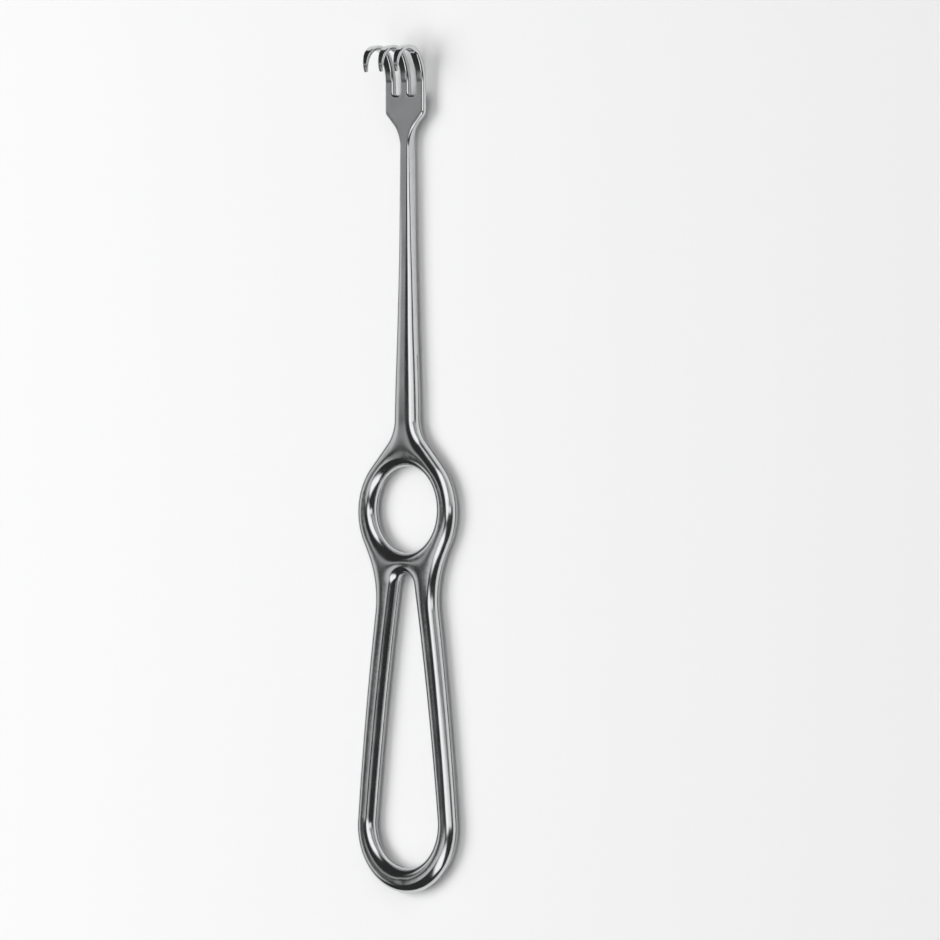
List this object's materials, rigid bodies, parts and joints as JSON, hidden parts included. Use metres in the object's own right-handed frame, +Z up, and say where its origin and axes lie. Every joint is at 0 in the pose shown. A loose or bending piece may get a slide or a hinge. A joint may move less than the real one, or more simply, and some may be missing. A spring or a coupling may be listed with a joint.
{
  "type": "handheld surgical retractor",
  "caption": "One-piece forged steel rake retractor: flat three-tine head with blunt hooks turned back, tapering shaft, finger ring and long palm loop.",
  "frame": {"origin": "middle of the footprint on the surface that the retractor lies on", "axes": "+Y along the instrument from the palm loop to the head, +Z up out of the front face, the way the hooks stand up, +X to the right across the handle"},
  "size_m": [0.0346, 0.22, 0.0132],
  "materials": {
    "polished_steel": "polished stainless steel with a fine satin grain"
  },
  "bodies": {
    "root": {"retractor": "polished_steel"}
  },
  "joints": []
}
